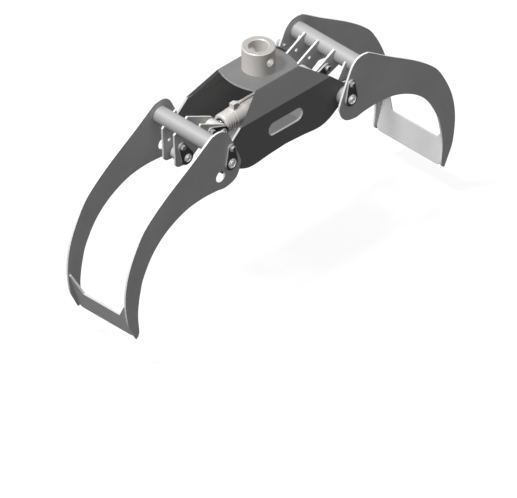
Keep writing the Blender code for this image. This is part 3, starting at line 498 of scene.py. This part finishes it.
def smooth(points, steps=9):
    """A smooth run through the points."""
    run = [Vector(p) for p in points]
    run = [2 * run[0] - run[1]] + run + [2 * run[-1] - run[-2]]
    made = []
    for a, b, c, d in zip(run, run[1:], run[2:], run[3:]):
        for i in range(steps):
            t = i / steps
            made.append(0.5 * (2 * b + (c - a) * t + (2 * a - 5 * b + 4 * c - d) * t * t
                               + (3 * b - a - 3 * c + d) * t ** 3))
    made.append(run[-2])
    return [(p.x, p.y) for p in made]


def sheet(name, loops, edge, place):
    """A flat cut sheet of an outline and its holes, with lightly broken edges."""
    curve = bpy.data.curves.new(name, "CURVE")
    curve.dimensions = "2D"
    curve.fill_mode = "BOTH"
    curve.extrude = PLATE / 2 - edge
    curve.bevel_depth = edge
    curve.bevel_resolution = 2
    curve.offset = -edge
    for loop in loops:
        line = curve.splines.new("POLY")
        line.points.add(len(loop) - 1)
        for point, (x, y) in zip(line.points, loop):
            point.co = (x, y, 0, 1)
        line.use_cyclic_u = True
    drawn = new_object("drawn", curve)
    mesh = result_of(drawn)
    bpy.data.objects.remove(drawn)
    mesh.transform(place)
    work = bmesh.new()
    work.from_mesh(mesh)
    bmesh.ops.remove_doubles(work, verts=work.verts, dist=WELD)
    bmesh.ops.recalc_face_normals(work, faces=work.faces)
    work.to_mesh(mesh)
    work.free()
    return new_object(name, mesh)


def plate(node, outline, bores, y, edge=0.0009, notch=None):
    """A node as a cut plate across Y. A notch is a bore that may run over the outline."""
    low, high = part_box(node)
    outline = [(min(max(x, low.x), high.x), min(max(z, low.z), high.z)) for x, z in outline]
    loops = [outline] + [circle(x, z, r) for x, z, r in bores]
    obj = sheet(f"{node}_plate", loops, edge, Matrix.Translation((0, y, 0)) @ AGAINST_Y)
    if notch:
        x, z, radius = notch
        bar = spun(disc(radius, -0.3, 0.3), 128, False)
        cut(obj, joined("bar", [(bar, Matrix.Translation((x, 0, z)) @ ALONG_Y)]))
    dressed(obj, node, look="black_flag" if node.endswith("_flag") else "grey_plate")


def eased(node, edge, look=None):
    """The CAD node's own shape with its edges broken."""
    work = bmesh.new()
    work.from_mesh(NODES[node].data)
    bmesh.ops.remove_doubles(work, verts=work.verts, dist=WELD)
    bmesh.ops.dissolve_limit(work, angle_limit=radians(0.6), verts=work.verts, edges=work.edges)
    mesh = bpy.data.meshes.new(f"{node}_eased")
    work.to_mesh(mesh)
    work.free()
    obj = new_object(f"{node}_eased", mesh)
    bevelled(obj, edge, 40)
    dressed(obj, node, look=look)


def from_pivot(side, inboard, up):
    """A place given from the jaw's pivot."""
    return -OUT[side] * (-PIVOT_X + inboard), PIVOT_Z + up


def on_tube(side, outboard, up, radius=0.003):
    """A small circle given from the jaw's cross tube, for a lug's outline."""
    return OUT[side] * (PIVOT_X + TUBE_OUT + outboard), PIVOT_Z + TUBE_UP + up, radius


# Pins, flags and bolts

def add_pin(stem, x, z, radius, face, end, sign, angle, pitch=FLAG_PITCH):
    """Pin, flag and bolt on a plate's face, with the bolt at an angle from the pin. Gives the bolt's place."""
    flag_face = face + sign * (GAP + PLATE)
    low, high = sorted((end, flag_face + sign * PIN_PROUD))
    boss, ring = radius * PIN_BOSS, radius * PIN_RING
    half = [(0, high - 0.0018), (0.0026, high - 0.0004), (0.0030, high), (boss - 0.0006, high),
            (boss, high - 0.0006), (boss, high - PIN_GROOVE), (ring, high - PIN_GROOVE), (ring, high - 0.0016),
            (ring + 0.0005, high - 0.0011), (radius - 0.0006, high - 0.0011), (radius, high - 0.0017)]
    back = [(r, low + high - h) for r, h in half[::-1]]
    turned(f"{stem}_pin", half + back, ALONG_Y, (x, 0, z), 72, False)
    bolt_x, bolt_z = x + pitch * cos(angle), z + pitch * sin(angle)
    big = min(FLAG_BIG, pitch * 0.55)
    plate(f"{stem}_flag", hull([(x, z, big), (bolt_x, bolt_z, FLAG_SMALL)]),
          [(x, z, radius + GAP), (bolt_x, bolt_z, BOLT_RADIUS + GAP)],
          (face + sign * GAP + flag_face) / 2, 0.0007)
    tail = -2 * PLATE - GAP - BOLT_TAIL
    thread = [(0, WASHER_HEIGHT), (BOLT_RADIUS - 0.0002, WASHER_HEIGHT), (BOLT_RADIUS - 0.0002, -2 * PLATE)]
    height, crest = -2 * PLATE - 0.0009, BOLT_RADIUS - 0.0001
    while height > tail + 0.0016:
        thread += [(crest - THREAD_DEPTH, height), (crest, height - 0.0009)]
        height -= THREAD_PITCH
    thread += [(BOLT_RADIUS - 0.0012, tail), (0, tail)]
    washer = sleeve(WASHER_RADIUS, BOLT_RADIUS, 0, WASHER_HEIGHT, 0.0004)
    top = WASHER_HEIGHT + BOLT_HEAD_HEIGHT
    collar = disc(BOLT_HEAD_RADIUS * 0.84, WASHER_HEIGHT, top, 0.0002)
    bolt = joined(f"{stem}_bolt_threaded", [
        (spun(thread, 32, False), Matrix()), (spun(washer, 48), Matrix()),
        (prism(BOLT_HEAD_RADIUS, WASHER_HEIGHT + 0.0002, top, 6, 0.0013, 0.3 + x * 7), Matrix()),
        (spun(collar, 48, False), Matrix())])
    turn = ALONG_Y if sign > 0 else AGAINST_Y
    bolt.matrix_world = Matrix.Translation((bolt_x, flag_face + sign * GAP, bolt_z)) @ turn
    dressed(bolt, f"{stem}_bolt", sharp=28, look="bolt_steel")
    return bolt_x, bolt_z


# Jaws

def tip_plate(side, half):
    """Wear plate between the jaw's tips, its lower corners rounded and its wings up the side plates."""
    out = OUT[side]
    foot = Vector((out * (PIVOT_X + TIP_FOOT[0]), 0, PIVOT_Z + TIP_FOOT[1]))
    along, up = Vector((0, 1, 0)), Vector((out * TIP_LEAN[0], 0, TIP_LEAN[1])).normalized()
    corner = [(half - TIP_CORNER + TIP_CORNER * sin(t), TIP_CORNER - TIP_CORNER * cos(t))
              for t in [pi / 16 * i for i in range(9)]]
    run = corner + [(half, WING_HEIGHT), (half - WING_END, WING_HEIGHT), (half - WING_FOOT, TIP_HEIGHT)]
    place = Matrix.Translation(foot) @ Matrix((along, up, along.cross(up))).transposed().to_4x4()
    obj = sheet(f"{side}_tip_plate_drawn", [run + [(-x, y) for x, y in run[::-1]]], 0.0012, place)
    dressed(obj, f"{side}_tip_plate")


for side, half in (("narrow", NARROW_HALF), ("wide", WIDE_HALF)):
    out, inner = OUT[side], half - PLATE
    outline = [(out * (PIVOT_X + x), PIVOT_Z + z) for x, z in smooth(JAW_BACK) + smooth(JAW_FRONT)]
    bores = [(out * PIVOT_X, PIVOT_Z, PIN_RADIUS + GAP),
             (out * PIVOT_X, PIVOT_Z + FLAG_PITCH, BOLT_RADIUS + GAP)]
    if side == "narrow":
        bores.append((*from_pivot(side, *NARROW_LINK_PIN), ACCESS_RADIUS))
    pin_end = {"narrow": SIDE_HALF - PLATE - 0.004, "wide": PIVOT_LUG_Y - PLATE / 2 - 0.004}[side]
    for place, sign in (("front", -1), ("rear", 1)):
        plate(f"{side}_side_plate_{place}", outline, bores, sign * (inner + PLATE / 2))
        add_pin(f"{side}_pivot_{place}", out * PIVOT_X, PIVOT_Z, PIN_RADIUS, sign * half,
                sign * pin_end, sign, pi / 2)
    turned(f"{side}_cross_tube", sleeve(TUBE_RADIUS, TUBE_RADIUS - TUBE_WALL, -inner + GAP, inner - GAP),
           ALONG_Y, (out * (PIVOT_X + TUBE_OUT), 0, PIVOT_Z + TUBE_UP), 128)
    tip_plate(side, inner - GAP)

rod_x, rod_z = from_pivot("narrow", *CYLINDER_PIN)
link_x, link_z = from_pivot("narrow", *NARROW_LINK_PIN)
rod_bolt = add_pin("rod", rod_x, rod_z, PIN_RADIUS, ROD_LUG_Y - PLATE / 2,
                   NARROW_LUGS["narrow_lug_middle"] + PLATE / 2 - GAP, -1, radians(148))
link_bolt = add_pin("narrow_link", link_x, link_z, LINK_PIN_RADIUS,
                    NARROW_LUGS["narrow_lug_middle"] - PLATE / 2,
                    NARROW_LUGS["narrow_lug_rear"] + PLATE / 2, -1, radians(114))


def lug(name, side, y, circles, bores):
    tube = (OUT[side] * (PIVOT_X + TUBE_OUT), PIVOT_Z + TUBE_UP, TUBE_RADIUS + GAP)
    plate(name, hull(circles), bores, y, notch=tube)


toe = (link_x - 0.028, link_z - 0.004, LUG_TOE)
foot = [(link_x, link_z, LUG_EYE), toe, on_tube("narrow", *LUG_HIGH), on_tube("narrow", 0.036, -0.016)]
foot_bores = [(link_x, link_z, LINK_PIN_RADIUS + GAP), (*link_bolt, BOLT_RADIUS + GAP)]
lug("narrow_lug_rear", "narrow", NARROW_LUGS["narrow_lug_rear"], foot, foot_bores)
lug("narrow_lug_middle", "narrow", NARROW_LUGS["narrow_lug_middle"], foot + [(rod_x, rod_z, LUG_EYE)],
    foot_bores + [(rod_x, rod_z, PIN_RADIUS + GAP)])
lug("narrow_rod_lug", "narrow", ROD_LUG_Y,
    [(rod_x, rod_z, LUG_EYE), on_tube("narrow", *LUG_HIGH), on_tube("narrow", *LUG_LOW)],
    [(rod_x, rod_z, PIN_RADIUS + GAP), (*rod_bolt, BOLT_RADIUS + GAP)])

barrel_x, barrel_z = from_pivot("wide", *CYLINDER_PIN)
far_x, far_z = from_pivot("wide", *WIDE_LINK_PIN)
front_bolt = add_pin("barrel", barrel_x, barrel_z, PIN_RADIUS, WIDE_LUGS["wide_lug_front"] - PLATE / 2,
                     WIDE_LUGS["wide_lug_middle"] + PLATE / 2 - GAP, -1, radians(32))
far_bolt = add_pin("wide_link", far_x, far_z, LINK_PIN_RADIUS, WIDE_LUGS["wide_lug_rear"] + PLATE / 2,
                   WIDE_LUGS["wide_lug_middle"] - PLATE / 2 + GAP, 1,
                   atan2(barrel_z - far_z, barrel_x - far_x), LINK_FLAG_PITCH)
arm = [(barrel_x, barrel_z, LUG_EYE), on_tube("wide", *LUG_HIGH), on_tube("wide", *LUG_LOW)]
front_hole = (*front_bolt, BOLT_RADIUS + GAP)
far_hole = (far_x, far_z, LINK_PIN_RADIUS + GAP)
pin_hole = (barrel_x, barrel_z, PIN_RADIUS + GAP)
lug_bores = {"wide_lug_rear": [far_hole, (*far_bolt, BOLT_RADIUS + GAP), front_hole],
             "wide_lug_middle": [far_hole, pin_hole, front_hole], "wide_lug_front": [pin_hole, front_hole]}
for name, y in WIDE_LUGS.items():
    lug(name, "wide", y, arm if name == "wide_lug_front" else arm + [(far_x, far_z, LUG_EYE - 0.004)],
        lug_bores[name])
for place, sign in (("front", -1), ("rear", 1)):
    lug(f"wide_pivot_lug_{place}", "wide", sign * PIVOT_LUG_Y,
        [(PIVOT_X, PIVOT_Z, PIVOT_LUG_EYE), on_tube("wide", -0.034, 0.012), on_tube("wide", 0.012, -0.036)],
        [(PIVOT_X, PIVOT_Z, PIN_RADIUS + GAP)])


# Housing, collar, bosses and bushes

# The folded section along X, cut to the side plates' outline and then to the top's bowed ends
low_z, reach, inner_half = PIVOT_Z - 0.12, PIVOT_X + 0.058, SIDE_HALF - PLATE
outside = folded([(-SIDE_HALF, low_z), (-SIDE_HALF, FOLD_Z), (-TOP_HALF, TOP_Z), (TOP_HALF, TOP_Z),
                  (SIDE_HALF, FOLD_Z), (SIDE_HALF, low_z)], FOLD_RADIUS)
top_inner, fold_inner = TOP_HALF - 0.0049, FOLD_Z - 0.0019
inside = folded([(-inner_half, low_z), (-inner_half, fold_inner), (-top_inner, TOP_Z - PLATE),
                 (top_inner, TOP_Z - PLATE), (inner_half, fold_inner), (inner_half, low_z)], INNER_FOLD_RADIUS)
housing = prism_of(outside + inside[::-1], -reach, reach, SECTION_YZ)
housing.name = "housing_folded"
eye = arc(PIVOT_X, PIVOT_Z, EYE_RADIUS, radians(EYE_START), radians(EYE_FINISH), 40)
belly = smooth([eye[-1]] + [(x, PIVOT_Z + z) for x, z in BELLY])
half_side = [(SLOPE_END, TOP_Z + 0.02), (SLOPE_END, FOLD_Z)] + eye + belly[1:]
side_cut = prism_of(half_side + [(-x, z) for x, z in half_side[-2::-1]], -THROUGH, THROUGH, AGAINST_Y)
cut(housing, side_cut, "INTERSECT")
bow = (TOP_HALF ** 2 + TOP_BOW ** 2) / (2 * TOP_BOW)  # the bow's radius
swing = asin(TOP_HALF / bow)
end = arc(TOP_END - bow, 0, bow, -swing, swing, 40)
past, wide = 2 * SLOPE_END, 2 * SIDE_HALF
end += [(SLOPE_END, SIDE_HALF), (SLOPE_END, wide), (past, wide), (past, -wide), (SLOPE_END, -wide),
        (SLOPE_END, -SIDE_HALF)]
for sign in (1, -1):
    cut(housing, prism_of([(sign * x, y) for x, y in end], FOLD_Z, FOLD_Z + 0.16, Matrix()))
# Slot in the front plate only, pivot bores, and the collar's bore through the top
slot = arc(SLOT_HALF, SLOT_Z, SLOT_RADIUS, -pi / 2, pi / 2, 32)
slot += arc(-SLOT_HALF, SLOT_Z, SLOT_RADIUS, pi / 2, 1.5 * pi, 32)
cut(housing, prism_of(slot, 0.09, 0.17, AGAINST_Y))
for x in (-PIVOT_X, PIVOT_X):
    cut(housing, prism_of(circle(x, PIVOT_Z, BUSH_RADIUS + GAP, 96), -THROUGH, THROUGH, AGAINST_Y))
cut(housing, prism_of(circle(0, 0, COLLAR_BORE, 96), TOP_Z - 0.05, TOP_Z + 0.05, Matrix()))
bevelled(housing, 0.0009, 50)
dressed(housing, "housing", sharp=30)
eased("housing_belly_plate", 0.0010, look="grey_guard")

top, step = COLLAR_TOP, COLLAR_CHAMFER
bell = [(COLLAR_OUTER - step, top), (COLLAR_OUTER, top - step), (COLLAR_OUTER, TOP_Z + GAP),
        (COLLAR_BORE, TOP_Z + GAP), (COLLAR_BORE, top - step), (COLLAR_BORE + step, top)]
collar = joined("rotator_collar_turned", [(spun(rounded(bell, 0.0006), 144), Matrix())])
cross = joined("cross", [(spun(disc(COLLAR_PIN_RADIUS, -0.1, 0.1), 64, False),
                          Matrix.Translation((0, 0, top - COLLAR_PIN_DROP)) @ ALONG_Y)])
cut(collar, cross)
dressed(collar, "rotator_collar", sharp=35, look="collar_steel")

inner, outer, narrow = SIDE_HALF - PLATE, WIDE_HALF - PLATE - GAP, NARROW_HALF - PLATE - GAP
for place, sign in (("front", -1), ("rear", 1)):
    at = (PIVOT_X, 0, PIVOT_Z)
    span = sorted((sign * (SIDE_HALF + GAP), sign * outer))
    turned(f"pivot_boss_{place}", sleeve(BOSS_RADIUS, BUSH_RADIUS + GAP, *span, 0.0015), ALONG_Y, at)
    span = sorted((sign * inner, sign * outer))
    turned(f"wide_pivot_bush_{place}", sleeve(BUSH_RADIUS, PIN_RADIUS + GAP, *span), ALONG_Y, at)
    ring = [(BOSS_RADIUS, narrow), (BOSS_RADIUS, SIDE_HALF + GAP), (BUSH_RADIUS, SIDE_HALF + GAP),
            (BUSH_RADIUS, inner), (PIN_RADIUS + GAP, inner), (PIN_RADIUS + GAP, narrow)]
    turned(f"narrow_pivot_bush_{place}", rounded(ring, 0.0006), ALONG_Y if sign > 0 else AGAINST_Y,
           (-PIVOT_X, 0, PIVOT_Z))


# Cylinder

axis = (0, CYLINDER_Y, CYLINDER_Z)
turned("cylinder_barrel", sleeve(BARREL_RADIUS, BARREL_BORE, BARREL_START, BARREL_END, 0.0012), ALONG_X,
       axis, 128)

neck = [(0, BARREL_END + NECK_LENGTH), (BARREL_EYE_RADIUS, BARREL_END + NECK_LENGTH),
        (BARREL_RADIUS - 0.004, BARREL_END + GAP), (BARREL_BORE - GAP, BARREL_END + GAP),
        (BARREL_BORE - GAP, BARREL_END - NECK_DEPTH), (0, BARREL_END - NECK_DEPTH)]
eye_at = Matrix.Translation((0, 0, barrel_x)) @ ALONG_X.inverted() @ ALONG_Y
eye = sleeve(BARREL_EYE_RADIUS, PIN_RADIUS + RUN, -BARREL_EYE_WIDTH / 2, BARREL_EYE_WIDTH / 2, 0.0015)
barrel_eye = joined("barrel_eye_turned", [
    (spun(rounded(neck, 0.001, closed=False), 96, False), Matrix()), (spun(eye, 96), eye_at),
    (spun(disc(NECK_RADIUS, BARREL_END + 0.010, barrel_x - 0.020), 96, False), Matrix())])
barrel_eye.matrix_world = Matrix.Translation(axis) @ ALONG_X
dressed(barrel_eye, "barrel_eye")

front, here = GLAND_FRONT, BARREL_START - GAP
rings = [(ROD_RADIUS + RUN, BARREL_START + GLAND_DEPTH), (BARREL_BORE - GAP, BARREL_START + GLAND_DEPTH),
         (BARREL_BORE - GAP, here)]
for radius, length in GLAND_STEPS:
    rings += [(radius, here), (radius, here - length)]
    here -= length
rings += [(GLAND_NOSE, here - 0.001), (GLAND_NOSE, front + 0.002), (GLAND_NOSE - 0.002, front),
          (WIPER_RADIUS, front), (WIPER_RADIUS, front + WIPER_DEPTH), (ROD_RADIUS + RUN, front + WIPER_DEPTH)]
turned("cylinder_gland", rounded(rings, 0.0006), ALONG_X, axis)
wiper = sleeve(WIPER_RADIUS - GAP, ROD_RADIUS + GAP, front + 0.0005, front + WIPER_DEPTH - GAP, 0.0006)
turned("rod_wiper", wiper, ALONG_X, axis)
turned("piston_rod", disc(ROD_RADIUS, -ROD_PIN_X + ROD_EYE_RADIUS + GAP, PISTON_X - GAP, 0.001), ALONG_X,
       axis, 96, False)
turned("rod_eye", sleeve(ROD_EYE_RADIUS, PIN_RADIUS + RUN, -ROD_EYE_WIDTH / 2, ROD_EYE_WIDTH / 2, 0.0015),
       ALONG_Y, (-ROD_PIN_X, CYLINDER_Y, CYLINDER_Z))

# Port block and oil pipe, welded on the barrel as one piece
pipe_z = CYLINDER_Z + BARREL_RADIUS + PIPE_RADIUS + 0.003
seat = CYLINDER_Z + BARREL_RADIUS - 0.004
half, crown = PORT_SIZE / 2, CYLINDER_Z + BARREL_RADIUS + PORT_RISE - PORT_SEAT
block = prism(half * sqrt(2), seat - pipe_z - 0.002, crown - pipe_z, 4, 0.0014, pi / 4)
socket = sleeve(half * 0.66, half * 0.40, crown - pipe_z - 0.004, crown - pipe_z + 0.0001, 0.0005)
start = PORT_X + half - 0.002
pipe = joined("port_block_turned", [
    (block, Matrix.Translation((PORT_X, 0, 0))),
    (spun(socket, 48), Matrix.Translation((PORT_X, 0, 0))),
    (spun(disc(PIPE_RADIUS, start, PIPE_END_X), 48, False), ALONG_X),
    (prism(PIPE_NUT_RADIUS, start, PORT_X + half + PIPE_NUT_LENGTH), ALONG_X),
    (spun(disc(PIPE_END_RADIUS, -0.0085, PIPE_END_RISE, 0.0012), 64, False),
     Matrix.Translation((PIPE_END_X, 0, 0)))])
pipe.matrix_world = Matrix.Translation((0, CYLINDER_Y, pipe_z))
dressed(pipe, "port_block", sharp=35)

eased("tie_bar", 0.0012)
for node in ("piston", "piston_seal", "tie_bar_bush"):
    slot = NODES[node].data.materials[0].name
    NODES[node].data.materials[0] = LOOKS[slot]


# Floor, light and camera. The world is white only where the camera looks or a surface mirrors it

work = bmesh.new()
bmesh.ops.create_grid(work, x_segments=2, y_segments=2, size=FLOOR_HALF)
mesh = bpy.data.meshes.new("floor")
work.to_mesh(mesh)
work.free()
floor = new_object("floor", mesh)
floor.location.z = FLOOR_Z
n = Nodes("floor")
n.shader.inputs["Roughness"].default_value = 1.0
n.shader.inputs["Specular IOR Level"].default_value = 0.0
rays = n.add("ShaderNodeLightPath")
n.link(n.mix(rays.outputs["Is Camera Ray"], (0.09, 0.09, 0.09, 1), (0.8, 0.8, 0.8, 1)), "Base Color")
glow = n.add("ShaderNodeEmission", {"Color": (1, 1, 1, 1), "Strength": 1.0})
seen = n.sums(rays.outputs["Is Camera Ray"], FLOOR_SEEN)
mirrored = n.sums(rays.outputs["Is Glossy Ray"], 0.2)
share = n.sums(seen, mirrored, "MAXIMUM")
mixed = n.add("ShaderNodeMixShader", {0: share, 1: n.shader.outputs[0], 2: glow.outputs[0]})
n.tree.links.new(mixed.outputs[0], n.tree.nodes["Material Output"].inputs[0])
floor.data.materials.append(n.material)

scene = bpy.context.scene
world = bpy.data.worlds.new("studio")
scene.world = world
world.use_nodes = True
tree = world.node_tree
tree.nodes.clear()
rays = tree.nodes.new("ShaderNodeLightPath")
shades = []
for strength in (WORLD_LIGHT, 1.0):
    shade = tree.nodes.new("ShaderNodeBackground")
    shade.inputs[0].default_value = (1, 1, 1, 1)
    shade.inputs[1].default_value = strength
    shades.append(shade.outputs[0])
share = rays.outputs["Is Camera Ray"]
for name in ("Is Glossy Ray", "Is Transmission Ray"):
    either = tree.nodes.new("ShaderNodeMath")
    either.operation = "MAXIMUM"
    tree.links.new(share, either.inputs[0])
    tree.links.new(rays.outputs[name], either.inputs[1])
    share = either.outputs[0]
blend = tree.nodes.new("ShaderNodeMixShader")
for socket, value in enumerate((share, *shades)):
    tree.links.new(value, blend.inputs[socket])
tree.links.new(blend.outputs[0], tree.nodes.new("ShaderNodeOutputWorld").inputs[0])


def sun(name, source, strength, spread, shadow=True):
    """Sunlight from the direction of the source."""
    lamp = bpy.data.lights.new(name, "SUN")
    lamp.energy = strength
    lamp.angle = radians(spread)
    lamp.use_shadow = shadow
    obj = new_object(name, lamp)
    obj.rotation_mode = "QUATERNION"
    obj.rotation_quaternion = Vector(source).to_track_quat("Z", "Y")


sun("key", KEY_SOURCE, KEY_LIGHT, 10)
sun("key_through", KEY_SOURCE, FILL_LIGHT, 12, False)

azimuth, rise = radians(VIEW_AZIMUTH), radians(VIEW_RISE)
back = Vector((sin(azimuth) * cos(rise), -cos(azimuth) * cos(rise), sin(rise)))
right = Vector((cos(azimuth), sin(azimuth), 0))
up = back.cross(right)
camera = bpy.data.cameras.new("camera")
camera.type = "ORTHO"
camera.ortho_scale = VIEW_SPAN
camera.clip_end = 30
view = new_object("camera", camera)
turn = Matrix((right, up, back)).transposed().to_4x4()
view.matrix_world = Matrix.Translation(Vector((0, 0, VIEW_Z)) + back * VIEW_REACH) @ turn
scene.camera = view
scene.view_settings.view_transform = "Standard"
